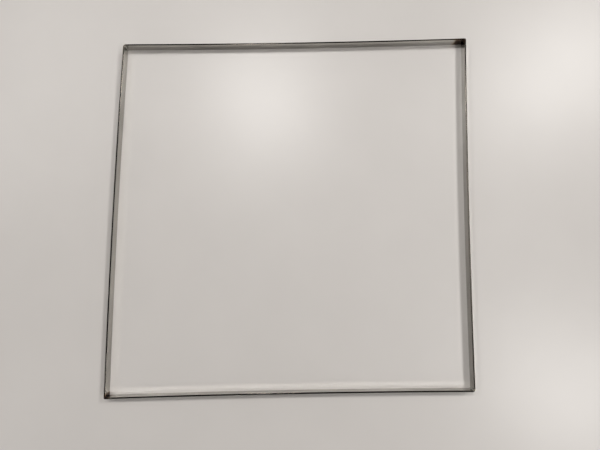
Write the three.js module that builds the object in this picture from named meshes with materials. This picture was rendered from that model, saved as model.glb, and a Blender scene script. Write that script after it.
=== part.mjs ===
// A pastry frame: two stainless-steel strips standing on edge, each bent to an L, with a weld down each
// of the two corners where their ends meet. Millimetres, +Z up. The origin is at the middle of the frame,
// on the surface that it stands on, and the front side lies along X.
import * as THREE from "three";

// Driving dimensions
const SIDE = 340; // outside length of each side, from sharp corner to sharp corner
const HEIGHT = 10; // height of the strips, which is the depth of the sheet that the frame casts
const THICKNESS = 1.5; // thickness of the strips
const BEND_RADIUS = 1; // inside of the bends
const WELD_RADIUS = 1; // outside of the welds, where they are ground round
const EDGE_RADIUS = 0.25; // upper and lower edges all round, rubbed smooth
const JOINT_GAP = 0.05; // gap between each strip's end and the weld that it meets

// Wear of this frame: an angle of 90 and bows of 0 make a true square with straight sides
const BEND_ANGLE = 91.75; // degrees inside each bend, which has sprung open, so the welded corners close up
const FRONT_BOW = -1.2; // bow of each side at the middle of its length, outwards positive
const RIGHT_BOW = -1.3;
const REAR_BOW = -1.3;
const LEFT_BOW = 1.4;

// Fineness of the facets
const CURVE_STEPS = 10; // facets along a bowed side, and half of those round a bend or weld
const EDGE_STEPS = 2; // facets round an upper or lower edge

const stripSteel = new THREE.MeshStandardMaterial({ color: 0xb4b0a9, roughness: 0.28, metalness: 1 });
const weldSteel = new THREE.MeshStandardMaterial({ color: 0x5d554b, roughness: 0.5, metalness: 1 });

// The sides turn by this angle at a bend, and it is also the inside angle at a weld
const turn = Math.PI - THREE.MathUtils.degToRad(BEND_ANGLE);

// The ends are cut square and meet at their inside edges, this far from the sharp outside corner
const endToCorner = THICKNESS / Math.tan(turn / 2);

// A point given by its distance along a line from the origin and its distance to the left of that line
function onLine(heading, along, left) {
  return new THREE.Vector2(along, left).rotateAround(new THREE.Vector2(), heading);
}

// A piece as high as the frame on a plan outline, with its upper and lower edges rounded
function makePiece(name, outline, material) {
  const geometry = new THREE.ExtrudeGeometry(outline, {
    depth: HEIGHT - 2 * EDGE_RADIUS,
    bevelThickness: EDGE_RADIUS,
    bevelSize: EDGE_RADIUS,
    bevelOffset: -EDGE_RADIUS,
    bevelSegments: EDGE_STEPS,
    curveSegments: CURVE_STEPS,
  });
  const piece = new THREE.Mesh(geometry.translate(0, 0, EDGE_RADIUS), material);
  piece.name = name;
  return piece;
}

// Plan of a bent strip. The sharp outside corner of its bend is the origin: the first leg comes in to it
// along +X, the second leaves it at the turn, and the inside of the frame is on the left of both.
function stripOutline(firstBow, secondBow) {
  const outsideRadius = BEND_RADIUS + THICKNESS;
  const bendLength = outsideRadius * Math.tan(turn / 2);
  const end = SIDE - endToCorner - JOINT_GAP;
  const middle = (end + bendLength) / 2;
  const first = (along, left) => onLine(0, -along, left);
  const second = (along, left) => onLine(turn, along, left);
  const outline = new THREE.Shape();
  outline.moveTo(...first(end, 0));
  outline.quadraticCurveTo(...first(middle, -2 * firstBow), ...first(bendLength, 0));
  outline.absarc(-bendLength, outsideRadius, outsideRadius, -Math.PI / 2, turn - Math.PI / 2, false);
  outline.quadraticCurveTo(...second(middle, -2 * secondBow), ...second(end, 0));
  outline.lineTo(...second(end, THICKNESS));
  outline.quadraticCurveTo(...second(middle, THICKNESS - 2 * secondBow), ...second(bendLength, THICKNESS));
  outline.absarc(-bendLength, outsideRadius, BEND_RADIUS, turn - Math.PI / 2, -Math.PI / 2, true);
  outline.quadraticCurveTo(...first(middle, THICKNESS - 2 * firstBow), ...first(end, THICKNESS));
  outline.closePath();
  return outline;
}

// Plan of a weld, which fills the corner between two square ends and is ground round on the outside.
// The sharp outside corner is the origin and +X points into the frame, halfway between the two sides.
function weldOutline() {
  const outline = new THREE.Shape();
  outline.moveTo(THICKNESS / Math.sin(turn / 2), 0);
  outline.lineTo(...onLine(turn / 2, endToCorner, 0));
  outline.absarc(
    WELD_RADIUS / Math.sin(turn / 2),
    0,
    WELD_RADIUS,
    (Math.PI + turn) / 2,
    (3 * Math.PI - turn) / 2,
    false,
  );
  outline.lineTo(...onLine(-turn / 2, endToCorner, 0));
  outline.closePath();
  return outline;
}

// The frame is one strip with the weld at its first end, and the same again turned half round.
const halves = [
  { turned: 0, strip: "front_right_strip", weld: "front_left_weld", bows: [FRONT_BOW, RIGHT_BOW] },
  { turned: Math.PI, strip: "rear_left_strip", weld: "rear_right_weld", bows: [REAR_BOW, LEFT_BOW] },
];
const halfFront = new THREE.Vector2(SIDE / 2, 0);
const halfRight = onLine(turn, SIDE / 2, 0);

const frame = new THREE.Group();
for (const half of halves) {
  const strip = makePiece(half.strip, stripOutline(...half.bows), stripSteel);
  strip.position.set(...halfFront.clone().sub(halfRight), 0);
  const weld = makePiece(half.weld, weldOutline(), weldSteel);
  weld.position.set(...halfFront.clone().add(halfRight).negate(), 0);
  weld.rotation.z = turn / 2;
  const group = new THREE.Group();
  group.rotation.z = half.turned;
  group.add(strip, weld);
  frame.add(group);
}

export default frame;
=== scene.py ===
"""Dresses the pastry frame: two bent stainless strips, the two welds that join them, and a plain table.

Every length is in metres, in the frame of the solids: +X runs to the right along the front side, +Y to
the rear and +Z up. The origin is at the middle of the frame, on the table.
"""

import logging
import math
from abc import ABC, abstractmethod
from collections.abc import Callable
from dataclasses import dataclass, field
from enum import Enum
from typing import Any

import bmesh
import bpy
from bmesh.types import BMEdge, BMVert
from bpy.types import Material, Mesh, Node, NodeSocket, NodeTree, Object
from mathutils import Matrix, Vector

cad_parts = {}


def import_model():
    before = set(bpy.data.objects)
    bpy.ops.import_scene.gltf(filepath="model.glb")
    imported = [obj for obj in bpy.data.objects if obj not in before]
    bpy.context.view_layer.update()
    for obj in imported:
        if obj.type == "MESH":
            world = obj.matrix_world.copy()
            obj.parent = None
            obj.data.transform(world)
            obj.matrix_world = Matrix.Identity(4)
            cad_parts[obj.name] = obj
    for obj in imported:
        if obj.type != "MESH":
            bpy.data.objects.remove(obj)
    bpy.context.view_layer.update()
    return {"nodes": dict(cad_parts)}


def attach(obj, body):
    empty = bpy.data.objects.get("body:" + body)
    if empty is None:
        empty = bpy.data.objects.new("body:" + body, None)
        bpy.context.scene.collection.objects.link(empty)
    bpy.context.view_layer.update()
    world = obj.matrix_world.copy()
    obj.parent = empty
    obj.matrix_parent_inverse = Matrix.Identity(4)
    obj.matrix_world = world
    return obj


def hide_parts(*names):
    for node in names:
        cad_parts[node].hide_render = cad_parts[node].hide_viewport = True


LOG = logging.getLogger("pastry_frame")
BODY = "root"
MM = 0.001
NEAR = 0.01 * MM  # points closer than this count as level or in one place
ROUND = 0.5  # bevel profile of a true rounding
UP = Vector((0.0, 0.0, 1.0))

Colour = str | NodeSocket
Range = tuple[float, float]
Stops = tuple[tuple[float, str], ...]


class Half(Enum):
    """The halves of the frame, by the angle that each is turned through about the middle."""

    FRONT_RIGHT = 0.0
    REAR_LEFT = math.pi

    @property
    def turn(self) -> Matrix:
        """Turn that brings the front right half to this one."""
        return Matrix.Rotation(self.value, 3, UP)


class Slot(Enum):
    """Material slots of the record."""

    STRIP = "strip_steel"
    WELD = "weld_steel"


class Skin(Enum):
    """Surfaces of a strip, by the place of their finish in its list of materials."""

    ROLLED_FACE = 0
    SLIT_EDGE = 1


class Gauge(Enum):
    """Measures that the pieces keep at their points for their finishes to read."""

    UNROLLED = "unrolled"  # along a strip, up it and out from the middle of its thickness
    COOLED = "cooled"  # 0 at a weld and 1 where its heat left no more colour
    RIDGE = "ridge"  # 0 in the valleys of a weld bead and 1 on its ridges


def linear(code: str) -> tuple[float, float, float, float]:
    """Turns an sRGB colour into a linear one, with the constants of the sRGB standard.

    Args:
        code: The colour as six hexadecimal digits.

    Returns:
        Red, green, blue and an alpha of 1.
    """
    shares = [int(code[i : i + 2], 16) / 255 for i in (0, 2, 4)]
    red, green, blue = (c / 12.92 if c <= 0.04045 else ((c + 0.055) / 1.055) ** 2.4 for c in shares)
    return red, green, blue, 1.0


def add_node(
    tree: NodeTree,
    kind: str,
    settings: dict[str, Any] | None = None,
    values: dict[str | int, Any] | None = None,
    links: dict[str | int, NodeSocket] | None = None,
) -> Node:
    """Adds a node with its settings and links.

    Args:
        tree: Tree that the node goes into.
        kind: Type name of the node.
        settings: Properties of the node.
        values: Values of its input sockets.
        links: Output sockets that feed its input sockets.

    Returns:
        The new node.
    """
    node = tree.nodes.new(kind)
    for name, setting in (settings or {}).items():
        setattr(node, name, setting)
    for name, value in (values or {}).items():
        node.inputs[name].default_value = value
    for name, source in (links or {}).items():
        tree.links.new(source, node.inputs[name])
    return node


def read_gauge(tree: NodeTree, gauge: Gauge) -> Node:
    """Adds a node that reads a measure which a piece keeps at its points."""
    return add_node(tree, "ShaderNodeAttribute", {"attribute_name": gauge.value})


def remap(
    tree: NodeTree,
    value: NodeSocket,
    before: Range = (0.0, 1.0),
    after: Range = (0.0, 1.0),
    kind: str = "LINEAR",
) -> NodeSocket:
    """Brings a value from one range to another, and holds it at the ends.

    Args:
        tree: Tree of the material.
        value: The value.
        before: Range that it comes from.
        after: Range that it goes to.
        kind: LINEAR, or SMOOTHSTEP for soft ends.

    Returns:
        The value in its new range.
    """
    return add_node(
        tree,
        "ShaderNodeMapRange",
        {"interpolation_type": kind},
        {"From Min": before[0], "From Max": before[1], "To Min": after[0], "To Max": after[1]},
        {"Value": value},
    ).outputs["Result"]


def blend(tree: NodeTree, share: NodeSocket, first: Colour, second: Colour) -> NodeSocket:
    """Blends two colours.

    Args:
        tree: Tree of the material.
        share: Share of the second colour.
        first: The first colour, in sRGB or from a node.
        second: The second colour, in sRGB or from a node.

    Returns:
        The blended colour.
    """
    ends = {"A": first, "B": second}
    plain = {name: linear(end) for name, end in ends.items() if isinstance(end, str)}
    drawn = {name: end for name, end in ends.items() if not isinstance(end, str)}
    links = {"Factor": share, **drawn}
    return add_node(tree, "ShaderNodeMix", {"data_type": "RGBA"}, plain, links).outputs["Result"]


def colour_ramp(tree: NodeTree, share: NodeSocket, stops: Stops) -> NodeSocket:
    """Colours a value.

    Args:
        tree: Tree of the material or of the room.
        share: The value, from 0 to 1.
        stops: Place and sRGB colour of each stop, in order.

    Returns:
        The colour.
    """
    node = add_node(tree, "ShaderNodeValToRGB", links={"Fac": share})
    elements = node.color_ramp.elements
    while len(elements) < len(stops):
        elements.new(1.0)
    for element, (place, code) in zip(elements, stops):
        element.position = place
        element.color = linear(code)
    return node.outputs["Color"]


def emboss(
    tree: NodeTree,
    height: NodeSocket,
    depth: float,
    below: NodeSocket | None = None,
    cut: bool = False,
    strength: float = 1.0,
) -> NodeSocket:
    """Bends the normal over a fine relief.

    Args:
        tree: Tree of the material.
        height: The relief, from 0 to 1.
        depth: Its full depth.
        below: Bent normal of the relief that it lies on.
        cut: Whether it is cut in and not raised.
        strength: How strongly it shows.

    Returns:
        The bent normal.
    """
    values = {"Strength": strength, "Distance": depth}
    links = {"Height": height}
    if below is not None:
        links["Normal"] = below
    return add_node(tree, "ShaderNodeBump", {"invert": cut}, values, links).outputs["Normal"]


def select_parts(mesh: Mesh, kind: str, wanted: Callable[[Any], bool]) -> None:
    """Selects points, edges or faces in edit mode, and nothing else.

    Args:
        mesh: The mesh being edited.
        kind: VERT, EDGE or FACE.
        wanted: Test of a point, an edge or a face.
    """
    bpy.ops.mesh.select_mode(type=kind)
    bpy.ops.mesh.select_all(action="DESELECT")
    edited = bmesh.from_edit_mesh(mesh)
    edited.normal_update()
    parts = {"VERT": edited.verts, "EDGE": edited.edges, "FACE": edited.faces}
    for part in parts[kind]:
        part.select_set(wanted(part))
    edited.select_flush_mode()
    bmesh.update_edit_mesh(mesh)


def take_piece(name: str) -> Object:
    """Names the piece that was added last.

    Args:
        name: Name of the piece.

    Returns:
        The piece.
    """
    piece = bpy.context.object
    piece.name = name
    piece.data.name = name
    return piece


def round_edges(offset: float, segments: int) -> None:
    """Rounds the selected edges, from an offset on each side of them, with a number of facets."""
    bpy.ops.mesh.bevel(offset=offset, segments=segments, profile=ROUND, affect="EDGES")


def smooth(piece: Object, angle: float = math.radians(30.0)) -> None:
    """Shades a piece smooth up to an angle, with its flat faces kept flat.

    Args:
        piece: The piece, which is the active object.
        angle: Widest angle between faces that are shaded as one.
    """
    bpy.ops.object.shade_smooth_by_angle(angle=angle)
    weighted = piece.modifiers.new("flat_faces", "WEIGHTED_NORMAL")
    weighted.keep_sharp = True
    bpy.ops.object.modifier_apply(modifier=weighted.name)


@dataclass(frozen=True)
class FrameSizes:
    """Sizes of the frame, the same as those of the solids."""

    side: float = 340 * MM
    height: float = 10 * MM
    thickness: float = 1.5 * MM
    bend_radius: float = 1.0 * MM
    weld_radius: float = 1.0 * MM
    edge_radius: float = 0.25 * MM
    joint_gap: float = 0.05 * MM
    bend_angle: float = math.radians(91.75)
    front_bow: float = -1.2 * MM
    right_bow: float = -1.3 * MM
    rear_bow: float = -1.3 * MM
    left_bow: float = 1.4 * MM

    @property
    def turn(self) -> float:
        """Angle that a strip turns through at its bend, and the angle inside a welded corner."""
        return math.pi - self.bend_angle

    @property
    def end_to_corner(self) -> float:
        """Distance from a strip's square end to the sharp outside corner."""
        return self.thickness / math.tan(self.turn / 2)

    @property
    def along_front(self) -> Vector:
        """Direction of the front side, to the right."""
        return Vector((1.0, 0.0, 0.0))

    @property
    def along_right(self) -> Vector:
        """Direction of the right side, to the rear."""
        return Matrix.Rotation(self.turn, 3, UP) @ self.along_front

    @property
    def bent_corner(self) -> Vector:
        """Sharp outside corner of the front right bend, on the table."""
        return (self.along_front - self.along_right) * self.side / 2

    @property
    def welded_corner(self) -> Vector:
        """Sharp outside corner of the front left weld, on the table."""
        return -(self.along_front + self.along_right) * self.side / 2


@dataclass(frozen=True)
class TintLengths:
    """Length of the tint at the welded end of each side: heat tint, at the rear also painted shade."""

    front: float = 4.0 * MM
    right: float = 3.0 * MM
    # Painted shade in part: the rear's 12 mm also stands for the right side and its shadow, mirrored in the
    # rear wall
    rear: float = 12.0 * MM
    left: float = 4.0 * MM


class Finish(ABC):
    """A finish: it makes a material, and each kind of finish lays its own pattern on it."""

    name: str
    metallic: float

    @property
    def constants(self) -> dict[str, float]:
        """Values of the shader that are the same all over."""
        return {"Metallic": self.metallic}

    def make(self) -> Material:
        """Makes the material.

        Returns:
            The new material.
        """
        material = bpy.data.materials.new(self.name)
        material.use_nodes = True
        tree = material.node_tree
        shader = tree.nodes["Principled BSDF"]
        for name, value in self.constants.items():
            shader.inputs[name].default_value = value
        for name, source in self.lay(tree).items():
            tree.links.new(source, shader.inputs[name])
        return material

    @abstractmethod
    def lay(self, tree: NodeTree) -> dict[str, NodeSocket]:
        """Lays the pattern of the finish.

        Args:
            tree: Tree of the material.

        Returns:
            The parts of the pattern, by the input of the shader that each one feeds.
        """


@dataclass(frozen=True)
class Clouds:
    """A cloudy pattern.

    Attributes:
        size: Size of its largest clouds.
        detail: How many times finer clouds are added.
        fineness: Share of the strength that each finer set keeps.
        pick: Which of many such patterns it is, where that matters.
    """

    size: float
    detail: float = 2.0
    fineness: float = 0.5
    pick: float | None = None

    def draw(self, tree: NodeTree) -> NodeSocket:
        """Draws the clouds through a piece.

        Args:
            tree: Tree of the material.

        Returns:
            The clouds, from 0 to 1.
        """
        settings = {}
        values = {"Scale": 1 / self.size, "Detail": self.detail, "Roughness": self.fineness}
        if self.pick is not None:
            settings["noise_dimensions"] = "4D"
            values["W"] = self.pick
        place = add_node(tree, "ShaderNodeTexCoord").outputs["Object"]
        return add_node(tree, "ShaderNodeTexNoise", settings, values, {"Vector": place}).outputs["Fac"]


@dataclass(frozen=True)
class Streaks:
    """Streaks on the unrolled strip.

    Attributes:
        along: Size of a streak along the strip.
        across: Its size across the strip.
        slant: Angle that it is turned by.
        detail: How many times finer streaks are added.
        fineness: Share of the strength that each finer set keeps.
    """

    along: float
    across: float
    slant: float = 0.0
    detail: float = 3.0
    fineness: float = 0.6

    def draw(self, tree: NodeTree) -> NodeSocket:
        """Draws the streaks.

        Args:
            tree: Tree of the material.

        Returns:
            The streaks, from 0 to 1.
        """
        drawn = add_node(
            tree,
            "ShaderNodeMapping",
            {"vector_type": "TEXTURE"},
            {"Rotation": (0.0, 0.0, self.slant), "Scale": (self.along, self.across, self.across)},
            {"Vector": read_gauge(tree, Gauge.UNROLLED).outputs["Vector"]},
        )
        return add_node(
            tree,
            "ShaderNodeTexNoise",
            values={"Scale": 1.0, "Detail": self.detail, "Roughness": self.fineness},
            links={"Vector": drawn.outputs["Vector"]},
        ).outputs["Fac"]


@dataclass(frozen=True)
class HeatTint:
    """Oxide that the welder's heat leaves on the steel beside a weld.

    It is nearly black at the weld, then a mottled dark brown, and ends in a ragged border of straw.

    Attributes:
        ragged: Waves in its border.
        ragged_share: Depth of the waves, as a share of the length that the heat coloured.
        bare_from: Share of that length where bare steel starts to show.
        colours: Colours from the weld to the end of the tint.
    """

    ragged: Clouds = Clouds(2.5 * MM)
    ragged_share: float = 0.45
    bare_from: float = 0.62
    colours: Stops = (
        (0.00, "2e2521"),
        (0.22, "463830"),
        (0.60, "624e40"),
        (0.78, "957f62"),
        (1.00, "b2aa9a"),
    )

    def tint(self, tree: NodeTree, steel: NodeSocket) -> NodeSocket:
        """Tints the steel beside the welds.

        Args:
            tree: Tree of the material.
            steel: Colour of the bare steel.

        Returns:
            The colour with its heat tint.
        """
        front = add_node(
            tree,
            "ShaderNodeMath",
            {"operation": "MULTIPLY_ADD"},
            {1: self.ragged_share},
            {0: self.ragged.draw(tree), 2: read_gauge(tree, Gauge.COOLED).outputs["Fac"]},
        )
        start = self.ragged_share / 2
        share = remap(tree, front.outputs["Value"], (start, start + 1.0))
        bare = remap(tree, share, (self.bare_from, 1.0), kind="SMOOTHSTEP")
        return blend(tree, bare, colour_ramp(tree, share, self.colours), steel)


@dataclass(frozen=True)
class RolledStainless(Finish):
    """Cold-rolled stainless strip, bright annealed, then handled, rinsed and dried many times.

    Rolling leaves fine lines along the strip and a half-mirror between them, so a wall shows a soft picture
    of the table at its foot. Use adds dull stretches, which hands and cloths have rubbed, and short
    scratches, nearly along the strip, and a strip that was straightened by hand has slow waves.
    """

    name: str = "rolled_stainless_strip"
    metallic: float = 1.0
    bright: str = "c3c1bc"
    dull: str = "928f8a"
    lines: Streaks = Streaks(along=45 * MM, across=0.5 * MM)  # three times as wide as real ones, to show
    line_depth: float = 0.004 * MM
    # Ten times as wide as real ones, to show
    scratches: Streaks = Streaks(along=11 * MM, across=0.45 * MM, slant=math.radians(7.0))
    scratch_depth: float = 0.006 * MM
    scratch_shown: Range = (0.64, 0.72)
    stretches: Clouds = Clouds(140 * MM, detail=6.0, fineness=0.6, pick=3.0)
    streak_share: float = 0.3
    dull_shown: Range = (0.48, 0.82)
    waves: Clouds = Clouds(28 * MM, detail=1.0)
    wave_depth: float = 0.02 * MM
    smoothest: float = 0.05
    roughest: float = 0.16
    scratched: float = 0.30
    heat: HeatTint = HeatTint()

    def lay(self, tree: NodeTree) -> dict[str, NodeSocket]:
        """Lays lines, scratches, dull stretches, waves and heat tint.

        Args:
            tree: Tree of the material.

        Returns:
            The parts of the pattern, by the input of the shader that each one feeds.
        """
        lines = self.lines.draw(tree)
        scratches = remap(tree, self.scratches.draw(tree), self.scratch_shown)
        dullness = self.dulled(tree, lines)
        roughness = add_node(
            tree,
            "ShaderNodeMix",
            {"data_type": "FLOAT"},
            {"B": self.scratched},
            {"Factor": scratches, "A": remap(tree, dullness, after=(self.smoothest, self.roughest))},
        )
        return {
            "Base Color": self.heat.tint(tree, blend(tree, dullness, self.bright, self.dull)),
            "Roughness": roughness.outputs["Result"],
            "Normal": self.relief(tree, lines, scratches),
        }

    def dulled(self, tree: NodeTree, lines: NodeSocket) -> NodeSocket:
        """Spreads dull stretches, which are streaky because they follow the rolled lines.

        Args:
            tree: Tree of the material.
            lines: The rolled lines.

        Returns:
            The dullness, from 0 to 1.
        """
        wear = add_node(
            tree,
            "ShaderNodeMath",
            {"operation": "MULTIPLY_ADD"},
            {1: self.streak_share},
            {0: lines, 2: self.stretches.draw(tree)},
        )
        return remap(tree, wear.outputs["Value"], self.dull_shown)

    def relief(self, tree: NodeTree, lines: NodeSocket, scratches: NodeSocket) -> NodeSocket:
        """Raises the waves and the rolled lines, and cuts the scratches in.

        Args:
            tree: Tree of the material.
            lines: The rolled lines.
            scratches: The scratches.

        Returns:
            The bent normal.
        """
        waved = emboss(tree, self.waves.draw(tree), self.wave_depth)
        lined = emboss(tree, lines, self.line_depth, waved)
        return emboss(tree, scratches, self.scratch_depth, lined, cut=True)


@dataclass(frozen=True)
class SlitEdge(Finish):
    """Edge of the strip as the slitting knives left it, with its burr rubbed off.

    It is darker than the rolled face, with fine marks across its width. Its dark colours are partly the
    duller slit steel and partly painted shade: the dark reflection of the room above, on the upper edges.
    The rounding on each side, where bars and knives slide over it, is rubbed a little brighter.
    """

    name: str = "slit_stainless_edge"
    metallic: float = 1.0
    # Painted shade in part: these dark colours also stand for the dark reflection of the room on the upper
    # edges
    pale: str = "69645e"
    dark: str = "4e4943"
    rubbed: str = "76716a"
    marks: Streaks = Streaks(along=0.4 * MM, across=4.0 * MM)  # twice as coarse as real ones, to show
    mark_shown: Range = (0.35, 0.65)
    mark_depth: float = 0.0006 * MM
    rubbed_at: Range = (0.46 * MM, 0.70 * MM)
    smoothest: float = 0.07
    roughest: float = 0.13
    heat: HeatTint = HeatTint()

    def lay(self, tree: NodeTree) -> dict[str, NodeSocket]:
        """Lays the marks of the knives, the rubbed roundings and the heat tint.

        Args:
            tree: Tree of the material.

        Returns:
            The parts of the pattern, by the input of the shader that each one feeds.
        """
        marks = self.marks.draw(tree)
        share = remap(tree, marks, self.mark_shown)
        slit = blend(tree, share, self.dark, self.pale)
        return {
            "Base Color": self.heat.tint(tree, blend(tree, self.rounding(tree), slit, self.rubbed)),
            "Roughness": remap(tree, share, after=(self.roughest, self.smoothest)),
            "Normal": emboss(tree, marks, self.mark_depth),
        }

    def rounding(self, tree: NodeTree) -> NodeSocket:
        """Finds the roundings on the two sides of the edge.

        Args:
            tree: Tree of the material.

        Returns:
            0 in the middle of the edge and 1 on its roundings.
        """
        strip = read_gauge(tree, Gauge.UNROLLED).outputs["Vector"]
        parts = add_node(tree, "ShaderNodeSeparateXYZ", links={"Vector": strip})
        out = add_node(tree, "ShaderNodeMath", {"operation": "ABSOLUTE"}, links={0: parts.outputs["Z"]})
        return remap(tree, out.outputs["Value"], self.rubbed_at, kind="SMOOTHSTEP")


@dataclass(frozen=True)
class WeldOxide(Finish):
    """Stainless weld metal under the oxide that welding in air leaves.

    The oxide is black and half matt in the valleys of the bead. Where the ridges were ground back and have
    rubbed since, it is thin, and brown steel shows through.
    """

    name: str = "oxidised_stainless_weld"
    metallic: float = 1.0
    colours: Stops = (
        (0.00, "110e0c"),
        (0.45, "1f1a17"),
        (0.75, "332a26"),
        (1.00, "574b41"),
    )
    patches: Clouds = Clouds(1.1 * MM, detail=3.0)
    thin_shown: Range = (0.05, 0.72)
    grit: Clouds = Clouds(0.2 * MM)
    grit_depth: float = 0.015 * MM
    grit_strength: float = 0.8
    smoothest: float = 0.30
    roughest: float = 0.58

    def lay(self, tree: NodeTree) -> dict[str, NodeSocket]:
        """Lays black oxide in the valleys and thins it on the ridges.

        Args:
            tree: Tree of the material.

        Returns:
            The parts of the pattern, by the input of the shader that each one feeds.
        """
        thin = add_node(
            tree,
            "ShaderNodeMath",
            {"operation": "MULTIPLY"},
            links={0: read_gauge(tree, Gauge.RIDGE).outputs["Fac"], 1: self.patches.draw(tree)},
        )
        share = remap(tree, thin.outputs["Value"], self.thin_shown)
        return {
            "Base Color": colour_ramp(tree, share, self.colours),
            "Roughness": remap(tree, share, after=(self.roughest, self.smoothest)),
            "Normal": emboss(tree, self.grit.draw(tree), self.grit_depth, strength=self.grit_strength),
        }


@dataclass(frozen=True)
class SatinLaminate(Finish):
    """Pale satin laminate of a worktop, pressed against a fine-grained plate.

    It is an even warm grey with a soft sheen, which spreads the lamps into wide glows.
    """

    name: str = "satin_laminate"
    metallic: float = 0.0
    pale: str = "d1cdca"
    shade: str = "cbc7c4"
    patches: Clouds = Clouds(60 * MM, detail=3.0)
    grain: Clouds = Clouds(1.2 * MM)
    grain_depth: float = 0.005 * MM
    roughness: float = 0.34
    gloss: float = 0.5

    @property
    def constants(self) -> dict[str, float]:
        """Values of the shader that are the same all over."""
        return {**super().constants, "Roughness": self.roughness, "Specular IOR Level": self.gloss}

    def lay(self, tree: NodeTree) -> dict[str, NodeSocket]:
        """Lays the cloudy grey and the fine grain.

        Args:
            tree: Tree of the material.

        Returns:
            The parts of the pattern, by the input of the shader that each one feeds.
        """
        return {
            "Base Color": blend(tree, self.patches.draw(tree), self.shade, self.pale),
            "Normal": emboss(tree, self.grain.draw(tree), self.grain_depth),
        }


@dataclass(frozen=True)
class Leg:
    """One side of the frame as a run of strip with a slight bow.

    Attributes:
        start: Middle of the strip where the run starts.
        finish: Middle of the strip where it finishes.
        outward: Direction out of the frame.
        bow: How far the middle of the run stands outwards.
    """

    start: Vector
    finish: Vector
    outward: Vector
    bow: float

    @property
    def length(self) -> float:
        """Length of the run."""
        return (self.finish - self.start).length

    def point(self, share: float) -> Vector:
        """Finds a point of the run.

        Args:
            share: Share of the run that lies behind the point.

        Returns:
            The middle of the strip there.
        """
        straight = self.start.lerp(self.finish, share)
        return straight + self.outward * (4 * self.bow * share * (1 - share))

    def share(self, place: Vector) -> float:
        """Finds the share of the run that lies behind a place beside it.

        Args:
            place: The place.

        Returns:
            The share, below 0 before the run and above 1 past it.
        """
        return (place - self.start).dot(self.finish - self.start) / self.length**2

    def out(self, place: Vector) -> float:
        """Returns how far a place lies outwards from the middle of the strip."""
        return (place - self.point(self.share(place))).dot(self.outward)


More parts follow.
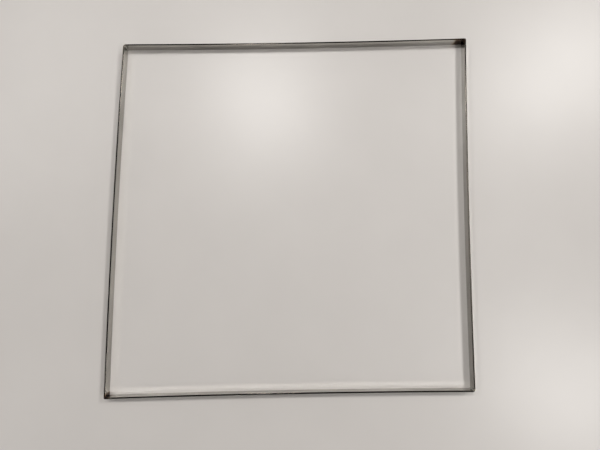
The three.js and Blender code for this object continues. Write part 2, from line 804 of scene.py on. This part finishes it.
@dataclass
class BentStrip:
    """A strip on edge that is bent to an L and makes two sides of the frame.

    Attributes:
        name: Name of the piece.
        node: Solid that it stands for.
        half: Half of the frame that it makes.
        bows: Bow of the run before the bend, and of the run after it.
        tinted: Length of the dark tint beside the weld at the first end, and at the last.
        sizes: Sizes of the frame.
        leg_steps: Lengths that each run is drawn out in.
        end_length: Length of the short first and last one, which keeps the shading flat to the end.
        bend_steps: Steps round the bend.
        edge_segments: Facets round each rubbed edge.
        sharp_angle: Angle between two faces that makes a sharp edge.
        slit_slope: Steepest slope out of level that still counts as the slit edge.
    """

    name: str
    node: str
    half: Half
    bows: Range
    tinted: Range
    sizes: FrameSizes
    leg_steps: int = 48
    end_length: float = 0.6 * MM
    bend_steps: int = 12
    edge_segments: int = 4
    sharp_angle: float = math.radians(60.0)
    slit_slope: float = math.radians(55.0)
    piece: Object | None = field(default=None, init=False)

    @property
    def outside_radius(self) -> float:
        """Radius of the outside of the bend."""
        return self.sizes.bend_radius + self.sizes.thickness

    @property
    def middle_radius(self) -> float:
        """Radius of the middle of the strip round the bend."""
        return self.outside_radius - self.sizes.thickness / 2

    @property
    def end(self) -> float:
        """Distance from the sharp outside corner of the bend to each end of the strip."""
        return self.sizes.side - self.sizes.end_to_corner - self.sizes.joint_gap

    @property
    def bend_length(self) -> float:
        """Distance from the sharp outside corner to where the bend starts."""
        return self.outside_radius * math.tan(self.sizes.turn / 2)

    @property
    def bend_centre(self) -> Vector:
        """Point on the table that the bend goes round."""
        sizes = self.sizes
        inward = UP.cross(sizes.along_front)
        corner = sizes.bent_corner - sizes.along_front * self.bend_length
        return self.half.turn @ (corner + inward * self.outside_radius)

    @property
    def first(self) -> Leg:
        """Run before the bend."""
        return self.leg(self.sizes.along_front, -self.end, -self.bend_length, self.bows[0])

    @property
    def second(self) -> Leg:
        """Run after the bend."""
        return self.leg(self.sizes.along_right, self.bend_length, self.end, self.bows[1])

    @property
    def before_second(self) -> float:
        """Length of the unrolled strip before its second run."""
        return self.first.length + self.middle_radius * self.sizes.turn

    def leg(self, along: Vector, near: float, far: float, bow: float) -> Leg:
        """Lays out a run in the place that this half of the frame has.

        Args:
            along: Direction of the run on the front right half, with the inside of the frame on its left.
            near: Distance from the sharp corner of the bend to the start of the run.
            far: Distance from it to the finish.
            bow: Bow of the run.

        Returns:
            The run.
        """
        inward = UP.cross(along)
        middle = self.sizes.bent_corner + (inward * self.sizes.thickness + UP * self.sizes.height) / 2
        return Leg(
            start=self.half.turn @ (middle + along * near),
            finish=self.half.turn @ (middle + along * far),
            outward=self.half.turn @ -inward,
            bow=bow,
        )

    def build(self) -> Object:
        """Draws the strip out along its first run, round its bend and along its second run.

        Returns:
            The new piece.
        """
        self.add_end()
        bpy.ops.object.mode_set(mode="EDIT")
        bpy.ops.mesh.select_mode(type="FACE")
        bpy.ops.mesh.select_all(action="SELECT")
        self.draw_out(self.first)
        self.bend()
        self.draw_out(self.second)
        bpy.ops.mesh.select_all(action="SELECT")
        bpy.ops.mesh.normals_make_consistent(inside=False)
        self.rub_edges()
        self.mark_edges()
        bpy.ops.object.mode_set(mode="OBJECT")
        smooth(self.piece)
        self.gauge()
        return self.piece

    def add_end(self) -> None:
        """Adds the square-cut end of the strip, which faces along its first run."""
        run = self.first
        heading = math.atan2(run.finish.y - run.start.y, run.finish.x - run.start.x)
        bpy.ops.object.select_all(action="DESELECT")
        bpy.ops.mesh.primitive_plane_add(
            size=1.0,
            calc_uvs=False,
            location=run.start,
            rotation=(math.pi / 2, 0.0, heading + math.pi / 2),
        )
        self.piece = take_piece(self.name)
        self.piece.scale = (self.sizes.thickness, self.sizes.height, 1.0)
        bpy.ops.object.transform_apply(location=True, rotation=True, scale=True)

    def draw_out(self, run: Leg) -> None:
        """Extrudes the selected end along a run, in lengths that follow its bow.

        Args:
            run: The run.
        """
        short = self.end_length / run.length
        inner = [step / self.leg_steps for step in range(1, self.leg_steps)]
        shares = [0.0, short, *inner, 1.0 - short, 1.0]
        for behind, ahead in zip(shares, shares[1:]):
            length = run.point(ahead) - run.point(behind)
            bpy.ops.mesh.extrude_region_move(TRANSFORM_OT_translate={"value": length})

    def bend(self) -> None:
        """Spins the selected end round the bend, to the left."""
        bpy.ops.mesh.spin(steps=self.bend_steps, angle=self.sizes.turn, center=self.bend_centre, axis=-UP)

    def rub_edges(self) -> None:
        """Rounds the upper and lower edges all the way along, but not the ends, which meet the welds."""

        def at_end(point: BMVert) -> bool:
            """Tells whether a point is on one of the two ends."""
            behind = self.first.share(point.co) * self.first.length
            ahead = (1 - self.second.share(point.co)) * self.second.length
            return min(behind, ahead) < NEAR

        def sharp_and_long(edge: BMEdge) -> bool:
            """Tells whether an edge is sharp, level and not across an end."""
            low, high = sorted(point.co.z for point in edge.verts)
            sharp = edge.calc_face_angle() > self.sharp_angle
            return sharp and high - low < NEAR and not all(at_end(point) for point in edge.verts)

        select_parts(self.piece.data, "EDGE", sharp_and_long)
        round_edges(self.sizes.edge_radius, self.edge_segments)

    def mark_edges(self) -> None:
        """Gives the upper and lower edges the slit finish, down to the middle of their rounding."""
        for _ in Skin:
            self.piece.data.materials.append(None)
        edited = bmesh.from_edit_mesh(self.piece.data)
        edited.normal_update()
        for face in edited.faces:
            slit = abs(face.normal.z) > math.cos(self.slit_slope)
            face.material_index = (Skin.SLIT_EDGE if slit else Skin.ROLLED_FACE).value
        bmesh.update_edit_mesh(self.piece.data)

    def unroll(self, place: Vector) -> Vector:
        """Finds where a point lay on the strip before it was bent.

        Args:
            place: The point.

        Returns:
            Its distance from the first end, its height and its distance outwards from the middle.
        """
        first, second = self.first, self.second
        if first.share(place) <= 1.0:
            return Vector((first.share(place) * first.length, place.z, first.out(place)))
        if second.share(place) >= 0.0:
            ahead = second.share(place) * second.length
            return Vector((self.before_second + ahead, place.z, second.out(place)))
        spoke = (place - self.bend_centre) * Vector((1.0, 1.0, 0.0))
        round_bend = self.middle_radius * spoke.angle(first.outward)
        return Vector((first.length + round_bend, place.z, spoke.length - self.middle_radius))

    def gauge(self) -> None:
        """Keeps at each point its place on the unrolled strip and its place in the heat tint."""
        mesh = self.piece.data
        total = self.before_second + self.second.length
        mesh.attributes.new(Gauge.UNROLLED.value, "FLOAT_VECTOR", "POINT")
        mesh.attributes.new(Gauge.COOLED.value, "FLOAT", "POINT")
        unrolled = mesh.attributes[Gauge.UNROLLED.value].data
        cooled = mesh.attributes[Gauge.COOLED.value].data
        for point in mesh.vertices:
            flat = self.unroll(point.co)
            unrolled[point.index].vector = flat
            cooled[point.index].value = min(flat.x / self.tinted[0], (total - flat.x) / self.tinted[1])

    def dress(self, face: Material, edge: Material) -> None:
        """Gives the strip its finishes and its place in the frame.

        Args:
            face: Finish of the rolled faces.
            edge: Finish of the slit edges.
        """
        self.piece.data.materials[Skin.ROLLED_FACE.value] = face
        self.piece.data.materials[Skin.SLIT_EDGE.value] = edge
        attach(self.piece, BODY)
        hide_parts(self.node)


@dataclass
class CornerWeld:
    """A bead of weld metal that fills the corner between two square ends.

    Attributes:
        name: Name of the piece.
        node: Solid that it stands for.
        half: Half of the frame that it belongs to.
        sizes: Sizes of the frame.
        ripples: Ridges up the height of the bead, one for each dab of filler rod.
        ripple_steps: Rings in each ripple.
        valley_depth: How far a valley lies inside the ground ridges, as a share of the bead.
        sag: How far a ripple hangs down at the outside corner.
        plain_end: Height of the plain bead below the first ripple and above the last.
        corner_share: How near counts as at the corner or in line with it, as a share of the reach.
        round_segments: Facets round the outside.
        edge_segments: Facets round the upper and lower edges.
    """

    name: str
    node: str
    half: Half
    sizes: FrameSizes
    ripples: int = 9
    ripple_steps: int = 6
    valley_depth: float = 0.09
    sag: float = 0.4 * MM
    plain_end: float = 0.5 * MM
    corner_share: float = 0.25
    round_segments: int = 8
    edge_segments: int = 3
    piece: Object | None = field(default=None, init=False)

    @property
    def inward(self) -> Vector:
        """Direction from the front left corner into the frame, halfway between its two sides."""
        return (self.sizes.along_front + self.sizes.along_right).normalized()

    @property
    def reach(self) -> float:
        """Distance from the sharp outside corner to the root."""
        return self.sizes.thickness / math.sin(self.sizes.turn / 2)

    @property
    def root(self) -> Vector:
        """Inside corner, where the strips' inner faces meet."""
        return self.sizes.welded_corner + self.inward * self.reach

    @property
    def rings(self) -> list[tuple[float, float]]:
        """Height of each ring of the bead, and its place between a valley, 0, and a ridge, 1."""
        count = self.ripples * self.ripple_steps
        rise = (self.sizes.height - 2 * self.plain_end) / count
        heights = [self.plain_end + ring * rise for ring in range(count + 1)]
        shares = [ring % self.ripple_steps / self.ripple_steps for ring in range(count + 1)]
        rippled = [(height, 1 - abs(2 * share - 1) ** 2) for height, share in zip(heights, shares)]
        return [(0.0, 1.0), *rippled, (self.sizes.height, 1.0)]

    def build(self) -> Object:
        """Lays the bead at the front left corner, one ripple on another.

        Returns:
            The new piece.
        """
        self.add_foot()
        bpy.ops.object.mode_set(mode="EDIT")
        self.lay_ripples()
        bpy.ops.mesh.select_all(action="SELECT")
        bpy.ops.mesh.normals_make_consistent(inside=False)
        self.gauge()
        self.hang_ripples()
        self.grind_round()
        self.rub_edges()
        bpy.ops.object.mode_set(mode="OBJECT")
        smooth(self.piece)
        return self.piece

    def add_foot(self) -> None:
        """Adds the foot of the bead, with a corner at the root, at each strip's end and outside."""
        sizes = self.sizes
        across = UP.cross(self.inward)
        toe = Vector((math.cos(sizes.turn / 2), math.sin(sizes.turn / 2))) * sizes.end_to_corner
        bpy.ops.object.select_all(action="DESELECT")
        bpy.ops.mesh.primitive_circle_add(
            vertices=4,
            radius=self.reach / 2,
            fill_type="NGON",
            calc_uvs=False,
            location=sizes.welded_corner + self.inward * self.reach / 2,
            rotation=(0.0, 0.0, sizes.turn / 2),
        )
        self.piece = take_piece(self.name)
        bpy.ops.object.transform_apply(location=True, rotation=True, scale=True)
        for corner in self.piece.data.vertices:
            side = (corner.co - sizes.welded_corner).dot(across)
            if abs(side) > self.reach * self.corner_share:
                corner.co = sizes.welded_corner + self.inward * toe.x + across * math.copysign(toe.y, side)

    def size_of(self, ridge: float) -> float:
        """Returns the size of a ring, as a share of the bead, from its place between valley and ridge."""
        return 1 - self.valley_depth * (1 - ridge)

    def lay_ripples(self) -> None:
        """Extrudes the foot up in rings that swell and shrink about the root."""
        bpy.ops.mesh.select_mode(type="FACE")
        bpy.ops.mesh.select_all(action="SELECT")
        for (below, old), (above, new) in zip(self.rings, self.rings[1:]):
            swell = self.size_of(new) / self.size_of(old)
            bpy.ops.mesh.extrude_region_move(TRANSFORM_OT_translate={"value": UP * (above - below)})
            bpy.ops.transform.resize(value=(swell, swell, 1.0), center_override=self.root)

    def gauge(self) -> None:
        """Keeps at each point its place between a valley and a ridge."""
        edited = bmesh.from_edit_mesh(self.piece.data)
        layer = edited.verts.layers.float.new(Gauge.RIDGE.value)
        for point in edited.verts:
            _, ridge = min(self.rings, key=lambda ring: abs(ring[0] - point.co.z))
            point[layer] = ridge
        bmesh.update_edit_mesh(self.piece.data)

    def outside(self, place: Vector) -> bool:
        """Tells whether a place is at the outside corner of the bead."""
        return (place - self.sizes.welded_corner).dot(self.inward) < self.reach * self.corner_share

    def hang_ripples(self) -> None:
        """Lets each ring hang down at the outside corner, less towards the top and the foot."""
        for height, _ in self.rings[1:-1]:
            drop = self.sag * math.sqrt(math.sin(math.pi * height / self.sizes.height))

            def in_ring(point: BMVert) -> bool:
                """Tells whether a point is in this ring and at the outside corner."""
                return abs(point.co.z - height) < NEAR and self.outside(point.co)

            select_parts(self.piece.data, "VERT", in_ring)
            bpy.ops.transform.translate(value=-UP * drop)

    def grind_round(self) -> None:
        """Rounds the outside corner of the bead."""
        select_parts(
            self.piece.data,
            "EDGE",
            lambda edge: all(self.outside(point.co) for point in edge.verts),
        )
        round_edges(self.sizes.weld_radius / math.tan(self.sizes.turn / 2), self.round_segments)

    def rub_edges(self) -> None:
        """Rounds the upper and lower edges of the bead, but not those that meet the strips."""

        def at_root(point: BMVert) -> bool:
            """Tells whether a point is at the inside corner."""
            return (point.co - self.root).to_2d().length < NEAR

        def outside_rim(edge: BMEdge) -> bool:
            """Tells whether an edge bounds the top or the foot on the outside."""
            heights = sorted(point.co.z for point in edge.verts)
            level = heights[1] < NEAR or heights[0] > self.sizes.height - NEAR
            return level and not any(at_root(point) for point in edge.verts)

        select_parts(self.piece.data, "EDGE", outside_rim)
        round_edges(self.sizes.edge_radius, self.edge_segments)

    def copy_to(self, name: str, node: str, half: Half) -> "CornerWeld":
        """Copies the bead, with a mesh of its own, to the other half of the frame.

        Args:
            name: Name of the copy.
            node: Solid that the copy stands for.
            half: Half of the frame that the copy belongs to.

        Returns:
            The copied weld.
        """
        weld = CornerWeld(name, node, half, self.sizes)
        bpy.ops.object.select_all(action="DESELECT")
        self.piece.select_set(True)
        bpy.context.view_layer.objects.active = self.piece
        bpy.ops.object.duplicate()
        weld.piece = take_piece(name)
        weld.piece.rotation_euler.z = half.value
        bpy.ops.object.transform_apply(location=True, rotation=True, scale=True)
        return weld

    def dress(self, finish: Material) -> None:
        """Gives the bead its finish and its place in the frame.

        Args:
            finish: Finish of the weld metal.
        """
        self.piece.data.materials.clear()
        self.piece.data.materials.append(finish)
        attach(self.piece, BODY)
        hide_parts(self.node)


@dataclass(frozen=True)
class Lamp:
    """A soft lamp, round or oval, that looks at the frame.

    Attributes:
        name: Name of the lamp.
        place: Where it hangs.
        spread: Its length and its width.
        watts: Its strength.
        colour: Colour of its light, in sRGB.
    """

    name: str
    place: tuple[float, float, float]
    spread: Range
    watts: float
    colour: str = "fffdfa"

    def hang(self) -> Object:
        """Hangs the lamp and turns it to the frame.

        Returns:
            The new lamp.
        """
        aim = (-Vector(self.place)).to_track_quat("-Z", "Y").to_euler()
        bpy.ops.object.select_all(action="DESELECT")
        bpy.ops.object.light_add(type="AREA", location=self.place, rotation=aim)
        lamp = bpy.context.object
        lamp.name = self.name
        lamp.data.shape = "ELLIPSE"
        lamp.data.size, lamp.data.size_y = self.spread
        lamp.data.energy = self.watts
        lamp.data.color = linear(self.colour)[:3]
        return lamp


@dataclass
class Studio:
    """Table, lamps and room light round the frame.

    Attributes:
        table_radius: Radius of the round table top, which shows no corner behind the frame.
        table_facets: Facets round its edge.
        table_gap: How far the table lies below the frame.
        lamps: The lamps.
        room_stops: Brightness of the room from level to straight up, as places and sRGB colours.
    """

    table_radius: float = 4.8
    table_facets: int = 128
    table_gap: float = 0.02 * MM
    lamps: tuple[Lamp, ...] = (
        Lamp("rear_lamp", (-0.18, 0.89, 2.00), (0.34, 0.34), 14.0),
        Lamp("right_rear_lamp", (1.45, 1.01, 2.00), (0.50, 0.50), 17.9),
        Lamp("right_front_lamp", (1.38, -0.70, 2.00), (0.50, 0.50), 14.5),
        # Long, for a wide soft light on the left of the table
        Lamp("left_rear_lamp", (-1.45, 0.95, 2.00), (1.60, 0.40), 9.6),
        Lamp("left_front_lamp", (-1.75, -0.85, 2.00), (0.50, 0.50), 2.5),
        # Long and dim: it gives the upper edge of the right side its soft light
        Lamp("right_long_lamp", (0.96, 0.20, 2.05), (2.20, 0.30), 2.2),
    )
    room_stops: Stops = (
        (0.00, "989693"),
        (0.15, "9e9b99"),
        (0.40, "888683"),
        (0.70, "6c6a68"),
        (0.88, "3e3d3b"),
        (1.00, "252423"),
    )

    def build(self) -> None:
        """Builds the table, hangs the lamps and lights the room."""
        self.lay_table()
        for lamp in self.lamps:
            lamp.hang()
        self.light_room()
        # Unblurred reflections keep the bright band that the walls throw onto the table
        bpy.context.scene.cycles.blur_glossy = 0.0

    def lay_table(self) -> Object:
        """Lays the table top.

        Returns:
            The table top.
        """
        bpy.ops.object.select_all(action="DESELECT")
        bpy.ops.mesh.primitive_circle_add(
            vertices=self.table_facets,
            radius=self.table_radius,
            fill_type="NGON",
            location=-UP * self.table_gap,
        )
        table = bpy.context.object
        table.name = "table"
        bpy.ops.object.transform_apply(location=True, rotation=True, scale=True)
        table.data.materials.append(SatinLaminate().make())
        return table

    def light_room(self) -> None:
        """Lights the room softly, less from straight above than from the sides."""
        world = bpy.data.worlds.new("room")
        world.use_nodes = True
        bpy.context.scene.world = world
        tree = world.node_tree
        toward = add_node(tree, "ShaderNodeTexCoord").outputs["Generated"]
        parts = add_node(tree, "ShaderNodeSeparateXYZ", links={"Vector": toward})
        brightness = colour_ramp(tree, parts.outputs["Z"], self.room_stops)
        tree.links.new(brightness, tree.nodes["Background"].inputs["Color"])


@dataclass(frozen=True)
class PhotoCamera:
    """Camera at the photograph's viewing angle, nearly straight above the frame.

    Attributes:
        place: Where its lens is.
        tilt: Its turns about X, Y and Z from looking straight down, in degrees.
        focal_length: Focal length of its lens, in millimetres.
        sensor_width: Width of its sensor, in millimetres.
        nearest: Distance of the nearest thing that it shows.
    """

    place: tuple[float, float, float] = (5.87 * MM, -58.42 * MM, 439.49 * MM)
    tilt: tuple[float, float, float] = (5.992, -0.04, -1.059)
    focal_length: float = 27.3
    sensor_width: float = 36.0
    nearest: float = 10 * MM

    def set_up(self) -> Object:
        """Sets the camera up and makes it the scene's own.

        Returns:
            The camera.
        """
        bpy.ops.object.select_all(action="DESELECT")
        bpy.ops.object.camera_add(
            location=self.place, rotation=[math.radians(angle) for angle in self.tilt]
        )
        camera = bpy.context.object
        camera.name = "photo_camera"
        camera.data.sensor_width = self.sensor_width
        camera.data.lens = self.focal_length
        camera.data.clip_start = self.nearest
        bpy.context.scene.camera = camera
        return camera


def make_frame(sizes: FrameSizes, tints: TintLengths) -> None:
    """Builds the strips and the welds and dresses them.

    Args:
        sizes: Sizes of the frame.
        tints: Lengths of the dark tint beside its welds.
    """
    rolled = RolledStainless().make()
    slit = SlitEdge().make()
    oxide = WeldOxide().make()
    strips = (
        BentStrip(
            "strip_front_right",
            "front_right_strip",
            Half.FRONT_RIGHT,
            (sizes.front_bow, sizes.right_bow),
            (tints.front, tints.right),
            sizes,
        ),
        BentStrip(
            "strip_rear_left",
            "rear_left_strip",
            Half.REAR_LEFT,
            (sizes.rear_bow, sizes.left_bow),
            (tints.rear, tints.left),
            sizes,
        ),
    )
    for strip in strips:
        strip.build()
        strip.dress(rolled, slit)
        LOG.info("%s: %d faces", strip.name, len(strip.piece.data.polygons))
    front_weld = CornerWeld("weld_front_left", "front_left_weld", Half.FRONT_RIGHT, sizes)
    front_weld.build()
    rear_weld = front_weld.copy_to("weld_rear_right", "rear_right_weld", Half.REAR_LEFT)
    for weld in (front_weld, rear_weld):
        weld.dress(oxide)
        LOG.info("%s: %d faces", weld.name, len(weld.piece.data.polygons))


def main() -> None:
    """Loads the frame, sets up the camera, and builds its pieces, its table and its light."""
    logging.basicConfig(level=logging.INFO, format="%(name)s: %(message)s")
    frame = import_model()
    LOG.info("solids: %s", ", ".join(sorted(frame["nodes"])))
    bpy.context.scene.view_settings.view_transform = "Standard"
    PhotoCamera().set_up()
    make_frame(FrameSizes(), TintLengths())
    Studio().build()


if __name__ == "__main__":
    main()
